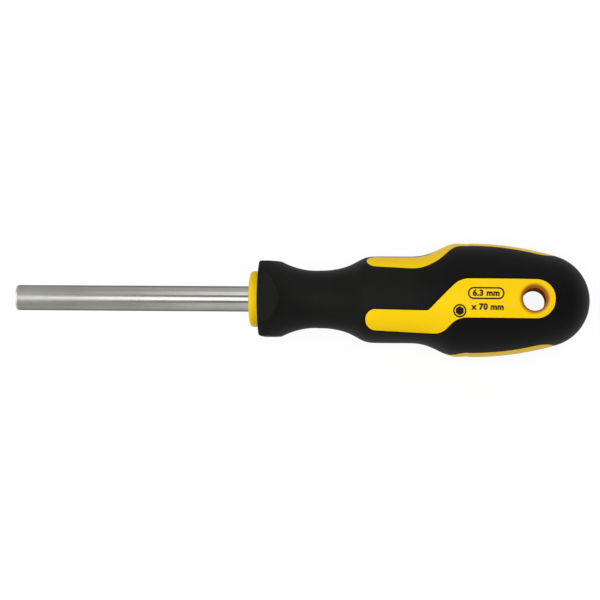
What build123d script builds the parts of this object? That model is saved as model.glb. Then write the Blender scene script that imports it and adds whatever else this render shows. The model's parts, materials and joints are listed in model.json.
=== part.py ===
from build123d import *
import math
import os

# A screwdriver with a magnetic bit socket at the end of a plated shank, and a handle moulded in
# three shots: a hidden core, a hard coloured shell and a soft dark grip.
# The origin is the middle of the socket's mouth. +X runs along the tool to the butt, and +Z runs
# out of the front of the handle, along the hanging hole. All lengths are in millimetres.

# Shank
shank_reach = 71.6
shank_radius = 3.85
shank_buried = 46.0
shank_end_bevel = 0.8
mouth_bevel_length = 0.6
mouth_bevel_depth = 0.2
wing_span = 10.8
wing_thickness = 1.7
wing_length = 8.0
wing_ramp = 2.4
wing_setback = 4.0

# Bit socket and magnet
socket_flats = 6.4
socket_sides = 6
socket_corner_radius = 0.8
socket_depth = 13.0
socket_lead_in = 0.25
magnet_radius = 2.5
magnet_length = 5.0
magnet_edge = 0.3
magnet_clearance = 0.05
magnet_stand = 0.4

# Zones of the handle, one after the other from the collar's front to the butt
collar_length = 3.1
flange_length = 3.6
waist_run = 14.7
rise_length = 17.9
barrel_length = 9.5
swell_length = 14.2
belly_length = 3.8
butt_length = 35.85

# Half widths of the handle in those zones
collar_radius = 8.5
collar_edge = 1.0
collar_dome = 0.45
flange_radius = 13.3
flange_flats = 22.7
flange_corner_radius = 1.0
flange_front_edge = 0.8
flange_front_slope = 0.5
waist_radius = 8.75
barrel_half_width = 13.1
barrel_half_diagonal = 13.5
belly_radius = 17.1
butt_radius = 13.9

# Walls of the three shots
grip_thickness = 1.6
shell_thickness = 3.0
hidden_cone_setback = 6.0
hidden_end_gap = 3.6
hidden_end_radius = 6.5
core_front_gap = 2.6
core_back_gap = 4.8
core_edge = 1.5

# Outline of one of the four S-shaped pads
pad_count = 4
pad_front_gap = 3.3
pad_back_gap = 10.6
pad_bend_gap = 3.4
pad_bend_lag = 0.7
wide_pad_width = 11.5
narrow_pad_top = 3.3
narrow_pad_side_gap = 3.7
narrow_pad_drift = 0.35
narrow_pad_spread = 1.1
bend_angle = 45.0
tight_bend_radius = 1.3
outer_bend_radius = 5.0
wide_bend_radius = 6.5
groove_width = 0.28
groove_depth = 0.45

# Hanging hole
hole_radius = 3.5
hole_flare = 1.15
hole_to_pad_end = 6.05
mouth_tolerance = 0.3

# Shares that shape the curves, fineness of the lofted form, and one overrun for every cut
neck_station_shares = (0.79, 0.476)
neck_height_shares = (0.594, 0.182)
hidden_rise_share = 0.3
hidden_swell_share = 0.2
pad_end_round_share = 0.485
rise_station_shares = (0.0, 0.13, 0.26, 0.43, 0.6, 0.77, 0.89)
rise_lift_shares = (0.0, 0.018, 0.08, 0.243, 0.546, 0.897, 0.988)
swell_power = 1.25
barrel_steps = 3
swell_steps = 5
ring_points = 8
overrun = 3.0

# Stations along the tool
collar_front = shank_reach
flange_front = collar_front + collar_length
flange_back = flange_front + flange_length
waist = flange_back + waist_run
barrel_front = waist + rise_length
barrel_back = barrel_front + barrel_length
belly_front = barrel_back + swell_length
belly_back = belly_front + belly_length
butt_end = belly_back + butt_length
shank_end = shank_reach + shank_buried
pad_front = barrel_front - pad_front_gap
pad_back = butt_end - pad_back_gap
pad_bend = belly_back - pad_bend_gap
pad_top_bend = pad_bend + pad_bend_lag
hole_at = pad_back - hole_to_pad_end
narrow_pad_bottom = barrel_half_width - narrow_pad_side_gap
hidden_rise_start = waist + rise_length * hidden_rise_share
hidden_swell_start = barrel_back + swell_length * hidden_swell_share
hidden_cone_front = belly_back + hidden_cone_setback
hidden_cone_back = butt_end - butt_radius
hidden_end = butt_end - hidden_end_gap
core_front = hidden_rise_start + core_front_gap
core_back = hole_at - hole_radius - core_back_gap

# Half widths of the shell where the grip hides it
sleeve_radius = waist_radius - grip_thickness
hidden_barrel_radius = barrel_half_width - grip_thickness
hidden_belly_radius = belly_radius - grip_thickness
hidden_butt_radius = butt_radius - grip_thickness


def across(station):
    """Plane across the tool at a station, its own x along +Y and its own y along +Z."""
    return Plane(origin=(station, 0, 0), x_dir=(0, 1, 0), z_dir=(1, 0, 0))


def rise_size(lift):
    """Half width and half diagonal between the waist and the barrel."""
    width = waist_radius + (barrel_half_width - waist_radius) * lift
    diagonal = waist_radius + (barrel_half_diagonal - waist_radius) * lift
    return width, diagonal


def swell_size(share):
    """Half width and half diagonal between the barrel and the belly, level at both ends."""
    lift = (1 - math.cos(math.pi * share**swell_power)) / 2
    width = barrel_half_width + (belly_radius - barrel_half_width) * lift
    diagonal = barrel_half_diagonal + (belly_radius - barrel_half_diagonal) * lift
    return width, diagonal


def form_stations():
    """Station, half width and half diagonal of each ring from the waist to the belly's back."""
    stations = []
    for share, lift in zip(rise_station_shares, rise_lift_shares):
        stations.append((waist + rise_length * share, *rise_size(lift)))
    for step in range(barrel_steps):
        station = barrel_front + barrel_length * step / barrel_steps
        stations.append((station, barrel_half_width, barrel_half_diagonal))
    for step in range(swell_steps + 1):
        share = step / swell_steps
        stations.append((barrel_back + swell_length * share, *swell_size(share)))
    stations.append((belly_back, belly_radius, belly_radius))
    return stations


def ring(station, width, diagonal, inset):
    """Outline across the handle: a square with round corners, or a circle where it is round."""
    if math.isclose(width, diagonal):
        return across(station) * Circle(width - inset)
    points = []
    tangents = []
    for index in range(ring_points):
        angle = math.tau * index / ring_points
        swell = (1 - math.cos(pad_count * angle)) / 2
        radius = width + (diagonal - width) * swell - inset
        points.append((radius * math.cos(angle), radius * math.sin(angle)))
        tangents.append((-math.sin(angle), math.cos(angle)))
    even_pull = [1] * ring_points
    outline = Spline(*points, tangents=tangents, tangent_scalars=even_pull, periodic=True)
    return across(station) * make_face(outline)


def middle_form(inset):
    """Rise, barrel, swell and belly as one lofted body."""
    return loft([ring(*station, inset) for station in form_stations()])


def butt_arcs(inset):
    """Long arc back from the belly and, tangent to it, the ball that closes the butt."""
    ball_centre = butt_end - butt_radius
    reach = ball_centre - belly_back
    drop = belly_radius - butt_radius
    arc_radius = (reach**2 + drop**2) / (2 * drop) + butt_radius
    arc_centre = belly_radius - arc_radius
    turn = math.atan2(reach, -arc_centre)
    quarter = math.pi / 2
    long_radius = arc_radius - inset
    ball_radius = butt_radius - inset

    def on_long_arc(angle):
        return (belly_back + long_radius * math.sin(angle), arc_centre + long_radius * math.cos(angle))

    def on_ball(angle):
        return (ball_centre + ball_radius * math.sin(angle), ball_radius * math.cos(angle))

    long_arc = ThreePointArc(on_long_arc(0), on_long_arc(turn / 2), on_long_arc(turn))
    ball_arc = ThreePointArc(on_long_arc(turn), on_ball((turn + quarter) / 2), on_ball(quarter))
    return [long_arc, ball_arc]


def butt_form(inset):
    """Butt behind the belly, turned."""
    arcs = butt_arcs(inset)
    outline = Curve() + arcs + [Polyline(arcs[-1] @ 1, (belly_back, 0), arcs[0] @ 0)]
    return revolve(make_face(outline), Axis.X)


def handle_form(inset):
    """The handle behind its waist, with its skin set in by the given wall."""
    return middle_form(inset) + butt_form(inset)


def flange_and_neck():
    """Flange with four flats that stop the tool from rolling, run out into the neck."""
    neck_points = [
        (waist - waist_run * station_share, waist_radius + (flange_radius - waist_radius) * height_share)
        for station_share, height_share in zip(neck_station_shares, neck_height_shares)
    ]
    back_top = (flange_back, flange_radius)
    waist_top = (waist, waist_radius)
    outline = Curve() + [
        Polyline(waist_top, (waist, 0), (flange_front, 0), (flange_front, collar_radius),
                 (flange_front + flange_front_slope, flange_radius), back_top),
        Spline(back_top, *neck_points, waist_top),
    ]
    turned = revolve(make_face(outline), Axis.X)
    section = Circle(flange_radius) & Rectangle(flange_flats, flange_flats)
    section = fillet(section.vertices(), flange_corner_radius)
    prism = extrude(across(flange_front - overrun) * section, waist - flange_front + 2 * overrun)
    body = turned & prism
    front_face = body.faces().filter_by(GeomType.CONE).sort_by(Axis.X)[0]
    return fillet(front_face.outer_wire().edges(), flange_front_edge)


def shell_body():
    """Domed collar and the turned body behind it, which the grip covers up to the pads."""
    dome_top = (collar_front + collar_dome, collar_radius - collar_edge)
    edge_back = (collar_front + collar_dome + collar_edge, collar_radius)
    outline = Curve() + [
        Polyline((hidden_end, 0), (collar_front, 0), (collar_front, shank_radius), dome_top),
        TangentArc(dome_top, edge_back, tangent=(0, 1)),
        Polyline(
            edge_back, (flange_front, collar_radius), (flange_front, sleeve_radius),
            (hidden_rise_start, sleeve_radius), (barrel_front, hidden_barrel_radius),
            (hidden_swell_start, hidden_barrel_radius), (belly_front, hidden_belly_radius),
            (hidden_cone_front, hidden_belly_radius), (hidden_cone_back, hidden_butt_radius),
            (hidden_end, hidden_end_radius), (hidden_end, 0),
        ),
    ]
    return revolve(make_face(outline), Axis.X)


def pad_outline():
    """S shape seen from the front: a narrow stretch, two bends and a wide stretch round the hole."""
    wide = wide_pad_width / 2
    top = -narrow_pad_top
    bottom = -narrow_pad_bottom
    top_back = top - narrow_pad_drift
    bottom_back = bottom - narrow_pad_spread
    slant = math.tan(math.radians(bend_angle))
    narrow_round = (top - bottom) * pad_end_round_share
    wide_round = wide_pad_width * pad_end_round_share
    corners = [
        ((pad_front, top), narrow_round),
        ((pad_top_bend - (wide - top_back) / slant, top_back), tight_bend_radius),
        ((pad_top_bend, wide), wide_bend_radius),
        ((pad_back, wide), wide_round),
        ((pad_back, -wide), wide_round),
        ((pad_bend, -wide), wide_bend_radius),
        ((pad_bend - (-wide - bottom_back) / slant, bottom_back), outer_bend_radius),
        ((pad_front, bottom), narrow_round),
    ]
    points = [point for point, radius in corners]
    radii = [radius for point, radius in corners]
    return make_face(FilletPolyline(*points, radius=radii, close=True))


def pad_columns(outline):
    """An outline run up through the skin and repeated round the handle."""
    column = extrude(outline, belly_radius + overrun)
    turns = [Rot(360 * index / pad_count, 0, 0) for index in range(pad_count)]
    return [turn * column for turn in turns]


def shank():
    """Plated round bar with a beveled mouth, a hexagon socket and two swaged anchoring wings."""
    mouth_radius = shank_radius - mouth_bevel_depth
    bar_outline = Polyline(
        (0, 0), (0, mouth_radius), (mouth_bevel_length, shank_radius),
        (shank_end - shank_end_bevel, shank_radius), (shank_end, shank_radius - shank_end_bevel),
        (shank_end, 0), close=True,
    )
    bar = revolve(make_face(bar_outline), Axis.X)
    wing_back = shank_end - wing_setback
    wing_front = wing_back - wing_length
    half_span = wing_span / 2
    wing_outline = Polyline(
        (wing_front, -half_span + wing_ramp), (wing_front + wing_ramp, -half_span),
        (wing_back - wing_ramp, -half_span), (wing_back, -half_span + wing_ramp),
        (wing_back, half_span - wing_ramp), (wing_back - wing_ramp, half_span),
        (wing_front + wing_ramp, half_span), (wing_front, half_span - wing_ramp), close=True,
    )
    wings = extrude(make_face(wing_outline), wing_thickness / 2, both=True)
    hexagon = RegularPolygon(socket_flats / 2, socket_sides, major_radius=False)
    hexagon = fillet(hexagon.vertices(), socket_corner_radius)
    socket = extrude(across(0) * hexagon, socket_depth)
    lead_in_outline = Polyline(
        (0, 0), (0, socket_flats / 2 + socket_lead_in), (socket_flats / 2 + socket_lead_in, 0), close=True,
    )
    lead_in = revolve(make_face(lead_in_outline), Axis.X)
    pocket_depth = magnet_length - magnet_stand
    pocket = extrude(across(socket_depth) * Circle(magnet_radius + magnet_clearance), pocket_depth)
    return bar + wings - socket - lead_in - pocket


def magnet():
    """Round magnet that stands a little proud of its pocket at the socket's bottom."""
    front = socket_depth - magnet_stand
    body = extrude(across(front) * Circle(magnet_radius), magnet_length)
    return chamfer(body.edges().filter_by(GeomType.CIRCLE), magnet_edge)


def core_form():
    """First shot: the shell's hidden shape drawn in by the shell's wall, up to before the hole."""
    front_share = (core_front - hidden_rise_start) / (barrel_front - hidden_rise_start)
    front_radius = sleeve_radius + (hidden_barrel_radius - sleeve_radius) * front_share
    outline = Polyline(
        (core_front, 0), (core_front, front_radius - shell_thickness),
        (barrel_front, hidden_barrel_radius - shell_thickness),
        (hidden_swell_start, hidden_barrel_radius - shell_thickness),
        (belly_front, hidden_belly_radius - shell_thickness),
        (core_back - core_edge, hidden_belly_radius - shell_thickness),
        (core_back, hidden_belly_radius - shell_thickness - core_edge), (core_back, 0), close=True,
    )
    return revolve(make_face(outline), Axis.X)


def flared(body):
    """Rounds the two mouths of the hanging hole."""
    mouths = [
        edge for edge in body.edges()
        if abs(edge.center(CenterOf.BOUNDING_BOX).X - hole_at) < mouth_tolerance
        and abs(edge.center(CenterOf.BOUNDING_BOX).Y) < mouth_tolerance
        and abs(edge.bounding_box().size.Y - 2 * hole_radius) < mouth_tolerance
    ]
    return fillet(mouths, hole_flare)


def main():
    """Makes the five pieces and writes each to its own file."""
    outer = flange_and_neck() + handle_form(0)
    under_grip = shell_body()
    columns = pad_columns(pad_outline())
    core = core_form()
    bar = shank()

    hole = Pos(hole_at, 0, 0) * Cylinder(hole_radius, 2 * (belly_radius + overrun))
    pads = [outer & column for column in columns]
    shell = flared(under_grip + pads - hole) - core - bar

    groove_floor = handle_form(groove_depth)
    groove_columns = pad_columns(offset(pad_outline(), groove_width))
    grip = outer - under_grip
    for column, groove_column in zip(columns, groove_columns):
        groove = (groove_column & outer) - groove_floor
        grip = grip - column - groove

    pieces = {
        "shank": bar,
        "socket_magnet": magnet(),
        "handle_core": core - bar,
        "hard_shell": shell,
        "soft_grip": grip,
    }
    os.makedirs("parts", exist_ok=True)
    for name, piece in pieces.items():
        export_step(piece, f"parts/{name}.step")


if __name__ == "__main__":
    main()
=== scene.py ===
import json
import math

import bpy
from bpy.props import FloatProperty, FloatVectorProperty, PointerProperty
from mathutils import Matrix, Vector


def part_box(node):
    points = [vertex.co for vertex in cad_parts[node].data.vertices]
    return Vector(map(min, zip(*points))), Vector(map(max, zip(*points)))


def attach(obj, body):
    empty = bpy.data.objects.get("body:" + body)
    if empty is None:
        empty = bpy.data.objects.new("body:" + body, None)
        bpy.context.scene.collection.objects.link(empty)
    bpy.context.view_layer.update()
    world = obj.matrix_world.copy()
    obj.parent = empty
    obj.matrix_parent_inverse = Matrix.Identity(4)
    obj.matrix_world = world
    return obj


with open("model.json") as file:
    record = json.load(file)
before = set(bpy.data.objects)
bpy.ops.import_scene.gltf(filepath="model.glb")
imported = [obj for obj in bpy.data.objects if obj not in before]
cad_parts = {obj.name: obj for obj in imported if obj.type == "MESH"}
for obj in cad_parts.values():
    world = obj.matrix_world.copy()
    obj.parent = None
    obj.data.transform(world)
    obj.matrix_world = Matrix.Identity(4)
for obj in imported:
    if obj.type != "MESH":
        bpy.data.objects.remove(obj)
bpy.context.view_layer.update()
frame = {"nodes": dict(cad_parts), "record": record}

bl_info = {
    "name": "Magnetic bit screwdriver",
    "version": (1, 0, 0),
    "blender": (4, 5, 0),
    "location": "View3D > Sidebar > Screwdriver",
    "description": "Finishes, printed symbols and stage of a magnetic bit screwdriver",
    "category": "Object",
}

NODES = frame["nodes"]
BODY = "root"

# All lengths are in metres
MM = 0.001

# Places that the frame gives
SHANK_LOW, SHANK_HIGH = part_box("shank")
SHELL_LOW, SHELL_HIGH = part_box("hard_shell")
GRIP_LOW, GRIP_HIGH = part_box("soft_grip")
MOUNTS = {mount["name"]: mount for mount in frame["record"]["mounts"]}
HOLE_X = MOUNTS["hanging_hole"]["pos_m"][0]
HOLE_RADIUS = MOUNTS["hanging_hole"]["dims"]["r_mm"] * MM

# Along the tool: the turned bevel at the mouth, where the plating turns from satin to a mirror,
# and the part of the grip that a painted sheen lightens
MOUTH_BEVEL = 0.6 * MM
TURNED_START = SHANK_LOW.x + MOUTH_BEVEL * 0.8
TURNED_END = SHANK_LOW.x + MOUTH_BEVEL
SATIN_START = 0.0
SATIN_END = SHANK_HIGH.x * 0.6
GRIP_LENGTH = GRIP_HIGH.x - GRIP_LOW.x
PAINTED_SHEEN_START = GRIP_LOW.x + GRIP_LENGTH * 0.46
PAINTED_SHEEN_END = PAINTED_SHEEN_START + GRIP_LENGTH * 0.15

# Round the hanging hole: its wall, and its flared mouth, where painted shade darkens the shell
PAINTED_WALL_SHADE_START = HOLE_RADIUS * 1.005
PAINTED_WALL_SHADE_END = HOLE_RADIUS * 1.03
MOUTH_START = HOLE_RADIUS * 1.08
MOUTH_END = HOLE_RADIUS * 1.38
MOUTH_MATTNESS = 0.5

# Flecks of dust on the grip
DUST_SCALE = 150.0
DUST_SIZE = 0.05
DUST_COVER = 0.8

# Steps and roundings of the prints
HEXAGON_SIDES = 6
HEXAGON_ROUNDING = 0.12
HEXAGON_CORNER_STEPS = 2
RING_STEPS = 72
FRAME_ROUNDING = 0.47
FRAME_END_STEPS = 12
FIGURE_STEPS = 4
PRINT_LIFT = 2 * MM
MERGE_DISTANCE = 0.001 * MM
CUT_TOLERANCE = 0.001
SMOOTH_ANGLE = math.radians(40)

# Sockets of a Mix node that mixes colours
FIRST_COLOUR = 6
SECOND_COLOUR = 7
MIXED_COLOUR = 2

# Stage
FLOOR_MIDDLE = (HOLE_X / 2, 0, SHELL_LOW.z)
FLOOR_TINT = (0.995, 0.995, 0.99)
OVERHEAD_MIDDLE = SHELL_LOW.x / 2
SENSOR_WIDTH_MM = 36


# Nodes of a material


def start_material(name):
    """An empty node material with its principled shader wired to the output."""
    material = bpy.data.materials.new(name)
    material.use_nodes = True
    tree = material.node_tree
    tree.nodes.clear()
    output = tree.nodes.new("ShaderNodeOutputMaterial")
    shader = tree.nodes.new("ShaderNodeBsdfPrincipled")
    tree.links.new(shader.outputs["BSDF"], output.inputs["Surface"])
    return material, tree, shader


def connect(tree, shader, colour, roughness, normal=None):
    """Links the patterned colour, roughness and normal of a finish to its shader."""
    tree.links.new(colour, shader.inputs["Base Color"])
    tree.links.new(roughness, shader.inputs["Roughness"])
    if normal is not None:
        tree.links.new(normal, shader.inputs["Normal"])


def object_coordinates(tree, scale=(1, 1, 1)):
    """Object coordinates through a Mapping node, in metres times the scale."""
    coordinates = tree.nodes.new("ShaderNodeTexCoord")
    mapping = tree.nodes.new("ShaderNodeMapping")
    mapping.inputs["Scale"].default_value = scale
    tree.links.new(coordinates.outputs["Object"], mapping.inputs["Vector"])
    return mapping.outputs["Vector"]


def noise(tree, vector, scale, detail=3.0, roughness=0.55):
    """Noise value between 0 and 1."""
    node = tree.nodes.new("ShaderNodeTexNoise")
    node.inputs["Scale"].default_value = scale
    node.inputs["Detail"].default_value = detail
    node.inputs["Roughness"].default_value = roughness
    tree.links.new(vector, node.inputs["Vector"])
    return node.outputs["Fac"]


def to_range(tree, value, low, high, from_low=0.0, from_high=1.0):
    """Maps a value from one range to another and keeps it inside."""
    node = tree.nodes.new("ShaderNodeMapRange")
    node.inputs["From Min"].default_value = from_low
    node.inputs["From Max"].default_value = from_high
    node.inputs["To Min"].default_value = low
    node.inputs["To Max"].default_value = high
    tree.links.new(value, node.inputs["Value"])
    return node.outputs["Result"]


def fade(tree, value, start, end):
    """1 where a value is below the start, falling to 0 at the end."""
    return to_range(tree, value, 1.0, 0.0, from_low=start, from_high=end)


def math_node(tree, operation, first, second):
    """One Math node on two sockets or numbers."""
    node = tree.nodes.new("ShaderNodeMath")
    node.operation = operation
    for socket, value in zip(node.inputs, (first, second)):
        if isinstance(value, bpy.types.NodeSocket):
            tree.links.new(value, socket)
        else:
            socket.default_value = value
    return node.outputs["Value"]


def mixed_colour(tree, factor, first, second):
    """Mix of two colours by a factor socket."""
    node = tree.nodes.new("ShaderNodeMix")
    node.data_type = "RGBA"
    tree.links.new(factor, node.inputs["Factor"])
    for index, colour in ((FIRST_COLOUR, first), (SECOND_COLOUR, second)):
        if isinstance(colour, bpy.types.NodeSocket):
            tree.links.new(colour, node.inputs[index])
        else:
            node.inputs[index].default_value = (*colour, 1)
    return node.outputs[MIXED_COLOUR]


def bump(tree, height, strength, distance):
    """Normal from a height socket; the distance is in metres."""
    node = tree.nodes.new("ShaderNodeBump")
    node.inputs["Strength"].default_value = strength
    node.inputs["Distance"].default_value = distance
    tree.links.new(height, node.inputs["Height"])
    return node.outputs["Normal"]


def along_tool(tree):
    """Object X in metres."""
    coordinates = tree.nodes.new("ShaderNodeTexCoord")
    parts = tree.nodes.new("ShaderNodeSeparateXYZ")
    tree.links.new(coordinates.outputs["Object"], parts.inputs["Vector"])
    return parts.outputs["X"]


def from_hole(tree):
    """Distance from the hanging hole's axis in metres."""
    coordinates = tree.nodes.new("ShaderNodeTexCoord")
    mapping = tree.nodes.new("ShaderNodeMapping")
    mapping.inputs["Location"].default_value = (-HOLE_X, 0, 0)
    mapping.inputs["Scale"].default_value = (1, 1, 0)
    length = tree.nodes.new("ShaderNodeVectorMath")
    length.operation = "LENGTH"
    tree.links.new(coordinates.outputs["Object"], mapping.inputs["Vector"])
    tree.links.new(mapping.outputs["Vector"], length.inputs[0])
    return length.outputs["Value"]


def specks(tree, scale, size):
    """Sparse round specks: 1 in the middle of each and 0 between them."""
    node = tree.nodes.new("ShaderNodeTexVoronoi")
    node.inputs["Scale"].default_value = scale
    tree.links.new(object_coordinates(tree), node.inputs["Vector"])
    return fade(tree, node.outputs["Distance"], 0.0, size)


# Finishes


def plated_steel(finish):
    """Plating: a bright turned bevel at the mouth, then satin, and nearly a mirror at the handle."""
    material, tree, shader = start_material("plated_steel")
    smudge = noise(tree, object_coordinates(tree), scale=90.0, detail=4.0)
    smudge = to_range(tree, smudge, 0.0, 1.0, from_low=0.35, from_high=0.7)
    tint = mixed_colour(tree, smudge, finish.steel_colour, finish.steel_shade)
    turned = fade(tree, along_tool(tree), TURNED_START, TURNED_END)
    tint = mixed_colour(tree, turned, tint, finish.bevel_colour)
    drawn_out = object_coordinates(tree, scale=(6, 260, 260))
    streaks = noise(tree, drawn_out, scale=6.0, detail=5.0, roughness=0.7)
    satin = to_range(tree, along_tool(tree), 0.42, 0.12, SATIN_START, SATIN_END)
    rough = math_node(tree, "ADD", satin, to_range(tree, streaks, -0.05, 0.07))
    connect(tree, shader, tint, rough, bump(tree, streaks, strength=0.12, distance=0.02 * MM))
    shader.inputs["Metallic"].default_value = 1.0
    shader.inputs["Specular Tint"].default_value = (*finish.steel_edge, 1)
    return material


def magnet_metal(finish):
    """Plated magnet, scuffed by bits."""
    material, tree, shader = start_material("magnet_metal")
    scuffs = noise(tree, object_coordinates(tree), scale=900.0, detail=5.0, roughness=0.7)
    tint = mixed_colour(tree, scuffs, finish.magnet_colour, finish.steel_shade)
    connect(tree, shader, tint, to_range(tree, scuffs, 0.25, 0.6))
    shader.inputs["Metallic"].default_value = 1.0
    return material


def core_plastic(finish):
    """Plain moulded core, hidden in the handle."""
    material, tree, shader = start_material("core_plastic")
    grain = noise(tree, object_coordinates(tree), scale=1500.0, detail=2.0)
    tint = mixed_colour(tree, grain, finish.core_colour, finish.core_shade)
    connect(tree, shader, tint, to_range(tree, grain, 0.5, 0.7))
    return material


def hard_plastic(finish):
    """Semi-gloss moulded plastic: faint flow in its colour, a fine skin, and a matt hole with
    painted shade round and inside it.
    """
    material, tree, shader = start_material("hard_plastic")
    flow = noise(tree, object_coordinates(tree, scale=(0.35, 1, 1)), scale=70.0)
    flow = to_range(tree, flow, 0.0, 1.0, from_low=0.3, from_high=0.7)
    tint = mixed_colour(tree, flow, finish.shell_colour, finish.shell_shade)
    # Painted shade: the shell is darkened to brown round the hole's mouth and to orange-brown on its
    # wall, where shade falls in the hole; the mouth is also made matt
    mouth = fade(tree, from_hole(tree), MOUTH_START, MOUTH_END)
    tint = mixed_colour(tree, mouth, tint, finish.hole_mouth_painted_shade)
    wall = fade(tree, from_hole(tree), PAINTED_WALL_SHADE_START, PAINTED_WALL_SHADE_END)
    tint = mixed_colour(tree, wall, tint, finish.hole_wall_painted_shade)
    skin = noise(tree, object_coordinates(tree), scale=2600.0, detail=2.0)
    drawn_out = object_coordinates(tree, scale=(1, 3, 3))
    scuffs = noise(tree, drawn_out, scale=420.0, detail=6.0, roughness=0.75)
    scuffs = to_range(tree, scuffs, 0.0, 0.12, from_low=0.5, from_high=0.75)
    rough = math_node(tree, "ADD", to_range(tree, skin, 0.3, 0.4), scuffs)
    matt = math_node(tree, "MULTIPLY", mouth, MOUTH_MATTNESS)
    rough = math_node(tree, "ADD", rough, matt)
    connect(tree, shader, tint, rough, bump(tree, skin, strength=0.25, distance=0.03 * MM))
    shader.inputs["IOR"].default_value = 1.49
    shader.inputs["Specular IOR Level"].default_value = 0.06
    shader.inputs["Subsurface Weight"].default_value = 0.06
    shader.inputs["Subsurface Radius"].default_value = (0.6, 0.35, 0.05)
    shader.inputs["Subsurface Scale"].default_value = 1.2 * MM
    return material


def soft_plastic(finish):
    """Matt elastomer: a fine spark-eroded grain, with a painted sheen that lightens it from flange
    to barrel.
    """
    material, tree, shader = start_material("soft_plastic")
    cloud = noise(tree, object_coordinates(tree), scale=60.0)
    grain = noise(tree, object_coordinates(tree), scale=3800.0, detail=2.0, roughness=0.6)
    # Painted sheen: the grip's colour is lightened from the flange to the barrel in place of the
    # lamps' sheen there; this mask marks that stretch
    handled = fade(tree, along_tool(tree), PAINTED_SHEEN_START, PAINTED_SHEEN_END)
    uneven = to_range(tree, cloud, 0.6, 1.0, from_low=0.35, from_high=0.7)
    painted_sheen = math_node(tree, "MULTIPLY", handled, uneven)
    tint = mixed_colour(tree, painted_sheen, finish.grip_colour, finish.grip_sheen_and_speckle)
    speckle = to_range(tree, grain, 0.0, 0.3, from_low=0.45, from_high=0.8)
    tint = mixed_colour(tree, speckle, tint, finish.grip_sheen_and_speckle)
    dust = math_node(tree, "MULTIPLY", specks(tree, DUST_SCALE, DUST_SIZE), DUST_COVER)
    tint = mixed_colour(tree, dust, tint, finish.dust_colour)
    fine = to_range(tree, grain, -0.04, 0.08)
    rough = math_node(tree, "ADD", to_range(tree, cloud, 0.53, 0.6), fine)
    connect(tree, shader, tint, rough, bump(tree, grain, strength=0.5, distance=0.06 * MM))
    shader.inputs["Specular IOR Level"].default_value = 0.09
    return material


def ink(finish):
    """Printing ink, a little worn."""
    material, tree, shader = start_material("ink")
    wear = noise(tree, object_coordinates(tree), scale=2400.0, detail=4.0, roughness=0.7)
    worn = to_range(tree, wear, 0.0, 0.35, from_low=0.55, from_high=0.85)
    tint = mixed_colour(tree, worn, finish.ink_colour, finish.ink_wear)
    connect(tree, shader, tint, to_range(tree, wear, 0.45, 0.65))
    shader.inputs["Specular IOR Level"].default_value = 0.1
    return material


def set_material(piece, material):
    """One material for all of a piece."""
    piece.data.materials.clear()
    piece.data.materials.append(material)


# Tools for pieces


def deselect_all():
    """Leaves nothing selected and no piece in edit mode."""
    if bpy.context.object and bpy.context.object.mode != "OBJECT":
        bpy.ops.object.mode_set(mode="OBJECT")
    bpy.ops.object.select_all(action="DESELECT")


def only(piece):
    """Selects one piece and makes it active."""
    deselect_all()
    piece.select_set(True)
    bpy.context.view_layer.objects.active = piece


def apply_modifier(piece, kind, **settings):
    """Adds a modifier with its settings and applies it."""
    only(piece)
    modifier = piece.modifiers.new(kind.title(), kind)
    for name, value in settings.items():
        setattr(modifier, name, value)
    bpy.ops.object.modifier_apply(modifier=modifier.name)


def over_pad(setback, rise):
    """Place above the front pad, measured from the hanging hole's middle towards the socket."""
    return (HOLE_X - setback, rise, SHELL_HIGH.z + PRINT_LIFT)


def open_middle(width):
    """In edit mode, leaves a line of this width along the edge of the selected face."""
    bpy.ops.mesh.inset(thickness=width)
    bpy.ops.mesh.delete(type="FACE")


def slice_finely(piece, spacing):
    """Cuts a flat shape along X and along Y, so that it can bend over the pad."""
    only(piece)
    bpy.ops.object.transform_apply(location=True, rotation=True, scale=True)
    corners = [vertex.co.copy() for vertex in piece.data.vertices]
    bpy.ops.object.mode_set(mode="EDIT")
    for axis in (0, 1):
        low = min(corner[axis] for corner in corners)
        high = max(corner[axis] for corner in corners)
        normal = Vector((0, 0, 0))
        normal[axis] = 1
        for index in range(1, math.ceil((high - low) / spacing)):
            place = Vector((0, 0, 0))
            place[axis] = low + spacing * index
            bpy.ops.mesh.select_all(action="SELECT")
            bpy.ops.mesh.bisect(plane_co=place, plane_no=normal,
                                threshold=spacing * CUT_TOLERANCE)
    bpy.ops.object.mode_set(mode="OBJECT")


def print_on_pad(piece, name, finish, sizes):
    """Lays a flat shape on the front pad as a thin layer of ink that rides on the tool."""
    slice_finely(piece, sizes.slice_spacing)
    apply_modifier(piece, "SHRINKWRAP", target=NODES["hard_shell"], wrap_method="PROJECT",
                   use_project_z=True, use_positive_direction=False,
                   use_negative_direction=True, wrap_mode="ABOVE_SURFACE",
                   offset=sizes.ink_gap)
    highest = max(vertex.co.z for vertex in piece.data.vertices)
    if highest > SHELL_HIGH.z + sizes.ink_gap:
        raise RuntimeError(f"{name} misses the pad")
    apply_modifier(piece, "SOLIDIFY", thickness=sizes.ink_thickness, offset=1.0)
    bpy.ops.object.shade_smooth_by_angle(angle=SMOOTH_ANGLE)
    piece.name = name
    set_material(piece, ink(finish))
    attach(piece, BODY)


# Properties


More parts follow.
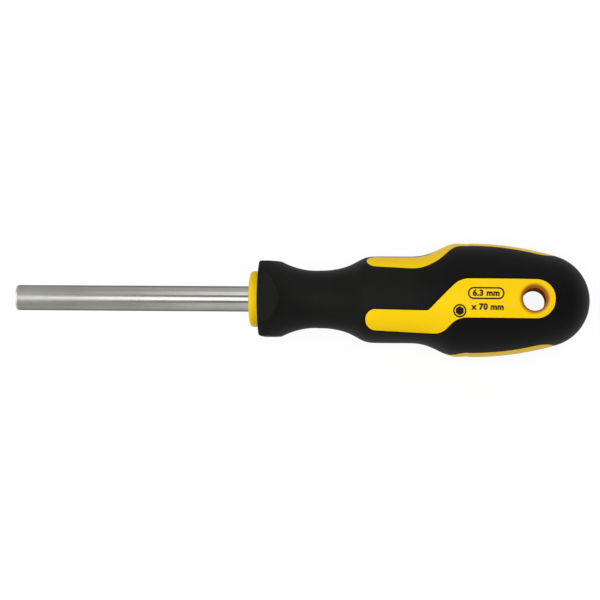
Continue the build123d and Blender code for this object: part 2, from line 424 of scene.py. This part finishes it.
class ScrewdriverFinish(bpy.types.PropertyGroup):
    """Colours of the finishes, of the painted shade at the hanging hole and of the grip's painted
    sheen, as linear values.
    """

    steel_colour: FloatVectorProperty(
        name="Plating", description="Colour of the bright plating", subtype="COLOR",
        default=(0.34, 0.337, 0.312))
    steel_shade: FloatVectorProperty(
        name="Plating smudges", description="Colour of the handled spots", subtype="COLOR",
        default=(0.3, 0.296, 0.272))
    steel_edge: FloatVectorProperty(
        name="Plating edge", description="Colour of the plating seen at a slant",
        subtype="COLOR", default=(0.14, 0.14, 0.14))
    bevel_colour: FloatVectorProperty(
        name="Mouth's bevel", description="Colour of the turned bevel at the socket's mouth",
        subtype="COLOR", default=(0.58, 0.575, 0.55))
    magnet_colour: FloatVectorProperty(
        name="Magnet", description="Colour of the magnet's plating", subtype="COLOR",
        default=(0.4, 0.4, 0.42))
    core_colour: FloatVectorProperty(
        name="Core", description="Colour of the hidden core", subtype="COLOR",
        default=(0.03, 0.03, 0.035))
    core_shade: FloatVectorProperty(
        name="Core's grain", description="Darker colour in the grain of the hidden core",
        subtype="COLOR", default=(0.02, 0.02, 0.022))
    shell_colour: FloatVectorProperty(
        name="Shell", description="Colour of the hard shell", subtype="COLOR",
        default=(0.8, 0.53, 0.003))
    shell_shade: FloatVectorProperty(
        name="Shell shade", description="Deeper colour in the flow of the shell",
        subtype="COLOR", default=(0.75, 0.487, 0.002))
    # Painted shade on the shell round the hanging hole's mouth
    hole_mouth_painted_shade: FloatVectorProperty(
        name="Hole's mouth", description="Colour of the shell round the hanging hole",
        subtype="COLOR", default=(0.26, 0.085, 0.014))
    # Painted shade on the shell inside the hanging hole
    hole_wall_painted_shade: FloatVectorProperty(
        name="Hole", description="Colour of the shell inside the hanging hole",
        subtype="COLOR", default=(0.74, 0.29, 0.05))
    grip_colour: FloatVectorProperty(
        name="Grip", description="Colour of the soft grip", subtype="COLOR",
        default=(0.0008, 0.0008, 0.0007))
    # Lighter grip colour: painted sheen from flange to barrel, and the tone of the grain's specks
    # everywhere
    grip_sheen_and_speckle: FloatVectorProperty(
        name="Grip, handled", description="Greyer colour of the grip where fingers hold it",
        subtype="COLOR", default=(0.0055, 0.0055, 0.0051))
    dust_colour: FloatVectorProperty(
        name="Dust", description="Colour of the flecks of dust on the grip", subtype="COLOR",
        default=(0.12, 0.12, 0.115))
    ink_colour: FloatVectorProperty(
        name="Ink", description="Colour of the printed symbols", subtype="COLOR",
        default=(0.012, 0.006, 0.002))
    ink_wear: FloatVectorProperty(
        name="Worn ink", description="Colour of the ink where it has worn thin",
        subtype="COLOR", default=(0.08, 0.04, 0.005))


class ScrewdriverPrint(bpy.types.PropertyGroup):
    """Places and sizes of the prints on the front pad, from the hanging hole's middle."""

    symbol_setback: FloatProperty(
        name="Symbol's setback", description="From the hole to the symbol, along the tool",
        subtype="DISTANCE", unit="LENGTH", default=22.0 * MM)
    symbol_rise: FloatProperty(
        name="Symbol's rise", description="From the pad's middle to the symbol's, across the tool",
        subtype="DISTANCE", unit="LENGTH", default=-3.8 * MM)
    hexagon_radius: FloatProperty(
        name="Hexagon", description="Radius of the symbol's hexagon over its corners",
        subtype="DISTANCE", unit="LENGTH", default=1.35 * MM)
    ring_radius: FloatProperty(
        name="Ring", description="Outer radius of the ring round the hexagon",
        subtype="DISTANCE", unit="LENGTH", default=1.95 * MM)
    frame_setback: FloatProperty(
        name="Frame's setback", description="From the hole to the frame's middle, along the tool",
        subtype="DISTANCE", unit="LENGTH", default=14.3 * MM)
    frame_rise: FloatProperty(
        name="Frame's rise", description="From the pad's middle to the frame's, across the tool",
        subtype="DISTANCE", unit="LENGTH", default=1.4 * MM)
    frame_length: FloatProperty(
        name="Frame's length", description="Over its round ends", subtype="DISTANCE",
        unit="LENGTH", default=10.7 * MM)
    frame_height: FloatProperty(
        name="Frame's height", description="Across the tool", subtype="DISTANCE",
        unit="LENGTH", default=3.6 * MM)
    line_width: FloatProperty(
        name="Line", description="Width of the ring's and the frame's line",
        subtype="DISTANCE", unit="LENGTH", default=0.46 * MM)
    length_setback: FloatProperty(
        name="Length's setback",
        description="From the hole to the shank's length in figures, along the tool",
        subtype="DISTANCE", unit="LENGTH", default=13.8 * MM)
    length_rise: FloatProperty(
        name="Length's rise",
        description="From the pad's middle to those figures, across the tool",
        subtype="DISTANCE", unit="LENGTH", default=-2.65 * MM)
    figure_size: FloatProperty(
        name="Figures", description="Size of the figures", subtype="DISTANCE", unit="LENGTH",
        default=2.45 * MM)
    figure_weight: FloatProperty(
        name="Figures' weight", description="How far their outlines are moved out",
        subtype="DISTANCE", unit="LENGTH", default=0.125 * MM)
    figure_spread: FloatProperty(
        name="Figures' spacing", description="Spacing of the figures against their usual one",
        default=1.07)
    slice_spacing: FloatProperty(
        name="Strips", description="Width of the strips in which a print bends over the pad",
        subtype="DISTANCE", unit="LENGTH", default=0.16 * MM)
    ink_gap: FloatProperty(
        name="Ink's gap", description="Between the pad and the ink", subtype="DISTANCE",
        unit="LENGTH", default=0.004 * MM)
    ink_thickness: FloatProperty(
        name="Ink's thickness", description="Thickness of the layer of ink",
        subtype="DISTANCE", unit="LENGTH", default=0.008 * MM)


class ScrewdriverStage(bpy.types.PropertyGroup):
    """Camera, floor and lamps. A lean is an angle from the zenith as seen from the tool."""

    camera_distance: FloatProperty(
        name="Camera distance", description="From the middle of the tool",
        subtype="DISTANCE", unit="LENGTH", default=0.63)
    focal_length: FloatProperty(
        name="Focal length", description="On a 36 mm sensor, in millimetres",
        subtype="DISTANCE_CAMERA", default=124.74)
    tool_tilt: FloatProperty(
        name="Tilt", description="How far the socket end dips away from the camera",
        subtype="ANGLE", default=math.radians(5.0))
    tool_roll: FloatProperty(
        name="Roll", description="How far the tool is rolled about its own axis",
        subtype="ANGLE", default=math.radians(2.6))
    tool_turn: FloatProperty(
        name="Turn", description="How far the tool is turned in the picture",
        subtype="ANGLE", default=math.radians(0.36))
    aim: FloatVectorProperty(
        name="Aim", description="Point that stands in the picture's middle",
        subtype="TRANSLATION", unit="LENGTH", default=(0.087136, -0.00026, 0.001027))
    floor_size: FloatProperty(
        name="Floor", description="Side of the square floor", subtype="DISTANCE",
        unit="LENGTH", default=6.0)
    floor_share: FloatProperty(
        name="Floor's own shade", description="Share of the floor's white that takes shadows",
        subtype="FACTOR", default=0.1)
    room_level: FloatProperty(
        name="Room light", description="Level of the world's even light", default=0.48)
    lamp_distance: FloatProperty(
        name="Lamp distance", description="From the tool to each soft box",
        subtype="DISTANCE", unit="LENGTH", default=0.8)
    overhead_lean: FloatProperty(
        name="Overhead box's lean", description="Towards the picture's upper side",
        subtype="ANGLE", default=math.radians(-4))
    overhead_spread: FloatProperty(
        name="Overhead box's spread", description="Half of the angle that it fills",
        subtype="ANGLE", default=math.radians(13.5))
    overhead_length: FloatProperty(
        name="Overhead box's length", description="Along the tool", subtype="DISTANCE",
        unit="LENGTH", default=0.72)
    overhead_level: FloatProperty(
        name="Overhead box", description="Brightness of the soft box above", default=3.3)
    side_length: FloatProperty(
        name="Side boxes' length", description="Along the tool", subtype="DISTANCE",
        unit="LENGTH", default=1.0)
    side_start: FloatProperty(
        name="Side boxes' start", description="Where they begin along the tool",
        subtype="DISTANCE", unit="LENGTH", default=-0.1)
    upper_lean: FloatProperty(
        name="Upper box's lean", description="Towards the picture's upper side",
        subtype="ANGLE", default=math.radians(47))
    upper_spread: FloatProperty(
        name="Upper box's spread", description="Half of the angle that it fills",
        subtype="ANGLE", default=math.radians(17))
    upper_level: FloatProperty(
        name="Upper box", description="Brightness of the soft box on the upper side",
        default=1.45)
    far_lean: FloatProperty(
        name="Far box's lean", description="Towards the picture's upper side",
        subtype="ANGLE", default=math.radians(77))
    far_spread: FloatProperty(
        name="Far box's spread", description="Half of the angle that it fills",
        subtype="ANGLE", default=math.radians(13))
    far_level: FloatProperty(
        name="Far box", description="Brightness of the soft box low on the upper side",
        default=0.6)
    lower_lean: FloatProperty(
        name="Lower box's lean", description="Towards the picture's lower side",
        subtype="ANGLE", default=math.radians(65))
    lower_spread: FloatProperty(
        name="Lower box's spread", description="Half of the angle that it fills",
        subtype="ANGLE", default=math.radians(25))
    lower_level: FloatProperty(
        name="Lower box", description="Brightness of the soft box on the lower side",
        default=0.75)
    end_lean: FloatProperty(
        name="End box's lean", description="Beyond the socket's end", subtype="ANGLE",
        default=math.radians(50))
    end_spread: FloatProperty(
        name="End box's spread", description="Half of the angle that it fills",
        subtype="ANGLE", default=math.radians(18))
    end_width: FloatProperty(
        name="End box's width", description="Across the tool", subtype="DISTANCE",
        unit="LENGTH", default=1.4)
    end_level: FloatProperty(
        name="End box", description="Brightness of the soft box beyond the socket's end",
        default=1.6)


# Operators


class SCREWDRIVER_OT_finish_nodes(bpy.types.Operator):
    """Gives each moulded or turned piece its finish"""

    bl_idname = "screwdriver.finish_nodes"
    bl_label = "Finish the pieces"

    def execute(self, context):
        finish = context.scene.screwdriver_finish
        finishes = {
            "shank": plated_steel,
            "socket_magnet": magnet_metal,
            "handle_core": core_plastic,
            "hard_shell": hard_plastic,
            "soft_grip": soft_plastic,
        }
        for name, make in finishes.items():
            set_material(NODES[name], make(finish))
        return {"FINISHED"}


class SCREWDRIVER_OT_print_symbol(bpy.types.Operator):
    """Prints the hexagon socket's symbol, a hexagon in a ring, on the front pad"""

    bl_idname = "screwdriver.print_symbol"
    bl_label = "Print the socket symbol"

    def execute(self, context):
        finish = context.scene.screwdriver_finish
        sizes = context.scene.screwdriver_print
        place = over_pad(sizes.symbol_setback, sizes.symbol_rise)
        deselect_all()
        bpy.ops.mesh.primitive_circle_add(vertices=HEXAGON_SIDES, radius=sizes.hexagon_radius,
                                          fill_type="NGON", location=place)
        hexagon = bpy.context.object
        bpy.ops.object.mode_set(mode="EDIT")
        bpy.ops.mesh.bevel(affect="VERTICES", offset=sizes.hexagon_radius * HEXAGON_ROUNDING,
                           segments=HEXAGON_CORNER_STEPS)
        bpy.ops.mesh.select_all(action="SELECT")
        bpy.ops.mesh.poke()
        bpy.ops.object.mode_set(mode="OBJECT")
        print_on_pad(hexagon, "symbol_hexagon", finish, sizes)
        deselect_all()
        bpy.ops.mesh.primitive_circle_add(vertices=RING_STEPS, radius=sizes.ring_radius,
                                          fill_type="NGON", location=place)
        ring = bpy.context.object
        bpy.ops.object.mode_set(mode="EDIT")
        open_middle(sizes.line_width)
        bpy.ops.object.mode_set(mode="OBJECT")
        print_on_pad(ring, "symbol_ring", finish, sizes)
        return {"FINISHED"}


class SCREWDRIVER_OT_print_frame(bpy.types.Operator):
    """Prints the frame with round ends on the front pad"""

    bl_idname = "screwdriver.print_frame"
    bl_label = "Print the frame"

    def execute(self, context):
        finish = context.scene.screwdriver_finish
        sizes = context.scene.screwdriver_print
        place = over_pad(sizes.frame_setback, sizes.frame_rise)
        deselect_all()
        bpy.ops.mesh.primitive_plane_add(size=1, location=place)
        outline = bpy.context.object
        bpy.ops.object.mode_set(mode="EDIT")
        bpy.ops.transform.resize(value=(sizes.frame_length, sizes.frame_height, 1))
        bpy.ops.mesh.bevel(affect="VERTICES", offset=sizes.frame_height * FRAME_ROUNDING,
                           segments=FRAME_END_STEPS)
        bpy.ops.mesh.select_all(action="SELECT")
        open_middle(sizes.line_width)
        bpy.ops.object.mode_set(mode="OBJECT")
        print_on_pad(outline, "print_frame", finish, sizes)
        return {"FINISHED"}


class SCREWDRIVER_OT_print_figures(bpy.types.Operator):
    """Prints the socket's and the shank's sizes in plain figures on the front pad"""

    bl_idname = "screwdriver.print_figures"
    bl_label = "Print the sizes"

    def execute(self, context):
        finish = context.scene.screwdriver_finish
        sizes = context.scene.screwdriver_print
        figures = {
            "socket_size": ("6.3 mm", over_pad(sizes.frame_setback, sizes.frame_rise)),
            "shank_size": ("x 70 mm", over_pad(sizes.length_setback, sizes.length_rise)),
        }
        for name, (text, place) in figures.items():
            deselect_all()
            bpy.ops.object.text_add(location=place)
            piece = bpy.context.object
            piece.scale = (MM, MM, MM)
            piece.data.body = text
            piece.data.size = sizes.figure_size / MM
            piece.data.offset = sizes.figure_weight / MM
            piece.data.resolution_u = FIGURE_STEPS
            piece.data.space_character = sizes.figure_spread
            piece.data.align_x = "CENTER"
            piece.data.align_y = "CENTER"
            bpy.ops.object.convert(target="MESH")
            bpy.ops.object.mode_set(mode="EDIT")
            bpy.ops.mesh.select_all(action="SELECT")
            bpy.ops.mesh.remove_doubles(threshold=MERGE_DISTANCE)
            bpy.ops.object.mode_set(mode="OBJECT")
            print_on_pad(piece, name, finish, sizes)
        return {"FINISHED"}


class SCREWDRIVER_OT_stage(bpy.types.Operator):
    """Builds the floor, the lamps, the world and the camera"""

    bl_idname = "screwdriver.stage"
    bl_label = "Build the stage"

    def execute(self, context):
        stage = context.scene.screwdriver_stage
        self.build_floor(stage)
        self.build_world(context, stage)
        self.build_lamps(stage)
        self.build_camera(context, stage)
        return {"FINISHED"}

    def build_floor(self, stage):
        """Floor under the tool: part paint, which takes the shadow, and part plain white."""
        deselect_all()
        bpy.ops.mesh.primitive_plane_add(size=stage.floor_size, location=FLOOR_MIDDLE)
        bpy.ops.object.transform_apply(location=True, rotation=True, scale=True)
        floor = bpy.context.object
        floor.name = "floor"
        material, tree, shader = start_material("floor")
        grain = noise(tree, object_coordinates(tree), scale=3.0, detail=2.0)
        share = stage.floor_share
        tinted = [share * part for part in FLOOR_TINT]
        paint = mixed_colour(tree, grain, (share, share, share), tinted)
        tree.links.new(paint, shader.inputs["Base Color"])
        shader.inputs["Roughness"].default_value = 0.95
        shader.inputs["Specular IOR Level"].default_value = 0.0
        path = tree.nodes.new("ShaderNodeLightPath")
        seen = path.outputs["Is Camera Ray"]
        for ray in ("Is Glossy Ray", "Is Transmission Ray"):
            seen = math_node(tree, "MAXIMUM", seen, path.outputs[ray])
        white = math_node(tree, "MULTIPLY", seen, 1.0 - share)
        tree.links.new(white, shader.inputs["Emission Strength"])
        shader.inputs["Emission Color"].default_value = (1, 1, 1, 1)
        set_material(floor, material)

    def build_world(self, context, stage):
        """Even white light from all sides."""
        world = bpy.data.worlds.new("soft_room")
        world.use_nodes = True
        background = world.node_tree.nodes["Background"]
        background.inputs["Color"].default_value = (1, 1, 1, 1)
        background.inputs["Strength"].default_value = stage.room_level
        context.scene.world = world

    def soft_box(self, name, place, turn, length, width, level):
        """Soft box turned to the tool; its level is its brightness."""
        bpy.ops.object.light_add(type="AREA", location=place, rotation=turn)
        lamp = bpy.context.object
        lamp.name = name
        lamp.visible_camera = False
        lamp.data.shape = "RECTANGLE"
        lamp.data.size = length
        lamp.data.size_y = width
        lamp.data.energy = level * math.pi * length * width

    def box_across(self, name, middle, lean, spread, length, level, distance):
        """Long soft box that leans from the zenith across the tool, towards +Y."""
        place = (middle, math.sin(lean) * distance, math.cos(lean) * distance)
        width = 2 * distance * math.tan(spread)
        self.soft_box(name, place, (-lean, 0, 0), length, width, level)

    def build_lamps(self, stage):
        """One long box above, three along the sides and one beyond the socket's end."""
        distance = stage.lamp_distance
        self.box_across("overhead_box", OVERHEAD_MIDDLE, stage.overhead_lean,
                        stage.overhead_spread, stage.overhead_length,
                        stage.overhead_level, distance)
        side_middle = stage.side_start + stage.side_length / 2
        side_boxes = {
            "upper_box": (stage.upper_lean, stage.upper_spread, stage.upper_level),
            "far_box": (stage.far_lean, stage.far_spread, stage.far_level),
            "lower_box": (-stage.lower_lean, stage.lower_spread, stage.lower_level),
        }
        for name, (lean, spread, level) in side_boxes.items():
            self.box_across(name, side_middle, lean, spread, stage.side_length, level, distance)
        end_place = (-math.sin(stage.end_lean) * distance, 0, math.cos(stage.end_lean) * distance)
        end_length = 2 * distance * math.tan(stage.end_spread)
        self.soft_box("end_box", end_place, (0, -stage.end_lean, 0), end_length,
                      stage.end_width, stage.end_level)

    def build_camera(self, context, stage):
        """Camera that sees the tool tilted, rolled and turned as in the photograph."""
        axis = Vector((math.cos(stage.tool_tilt) * math.cos(stage.tool_turn),
                       -math.sin(stage.tool_turn),
                       math.sin(stage.tool_tilt))).normalized()
        front = Vector((-math.sin(stage.tool_tilt), math.sin(stage.tool_roll),
                        math.cos(stage.tool_tilt)))
        front = (front - axis * front.dot(axis)).normalized()
        to_tool = Matrix((axis, front.cross(axis), front))
        backward = to_tool @ Vector((0, 0, 1))
        camera = bpy.data.objects.new("camera", bpy.data.cameras.new("camera"))
        context.scene.collection.objects.link(camera)
        camera.data.lens = stage.focal_length
        camera.data.sensor_width = SENSOR_WIDTH_MM
        place = Matrix.Translation(Vector(stage.aim) + backward * stage.camera_distance)
        camera.matrix_world = place @ to_tool.to_4x4()
        context.scene.camera = camera
        context.scene.view_settings.view_transform = "Standard"


class SCREWDRIVER_PT_panel(bpy.types.Panel):
    """Sizes, colours and buttons of the screwdriver"""

    bl_idname = "SCREWDRIVER_PT_panel"
    bl_label = "Screwdriver"
    bl_space_type = "VIEW_3D"
    bl_region_type = "UI"
    bl_category = "Screwdriver"

    def draw(self, context):
        layout = self.layout
        for group_name in GROUPS:
            group = getattr(context.scene, group_name)
            box = layout.box()
            for name in group.bl_rna.properties.keys():
                if name not in ("rna_type", "name"):
                    box.prop(group, name)
        for operator in OPERATORS:
            layout.operator(operator.bl_idname)


GROUPS = {
    "screwdriver_finish": ScrewdriverFinish,
    "screwdriver_print": ScrewdriverPrint,
    "screwdriver_stage": ScrewdriverStage,
}
OPERATORS = [
    SCREWDRIVER_OT_finish_nodes,
    SCREWDRIVER_OT_print_symbol,
    SCREWDRIVER_OT_print_frame,
    SCREWDRIVER_OT_print_figures,
    SCREWDRIVER_OT_stage,
]
CLASSES = [*GROUPS.values(), *OPERATORS, SCREWDRIVER_PT_panel]


def register():
    """Registers the classes and hangs each group of properties on the scene."""
    for item in CLASSES:
        bpy.utils.register_class(item)
    for name, group in GROUPS.items():
        setattr(bpy.types.Scene, name, PointerProperty(type=group))


def unregister():
    """Takes the groups off the scene and unregisters the classes."""
    for name in GROUPS:
        delattr(bpy.types.Scene, name)
    for item in reversed(CLASSES):
        bpy.utils.unregister_class(item)


def main():
    """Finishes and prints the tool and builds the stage."""
    register()
    bpy.ops.screwdriver.finish_nodes()
    bpy.ops.screwdriver.print_symbol()
    bpy.ops.screwdriver.print_frame()
    bpy.ops.screwdriver.print_figures()
    bpy.ops.screwdriver.stage()


if __name__ == "__main__":
    main()
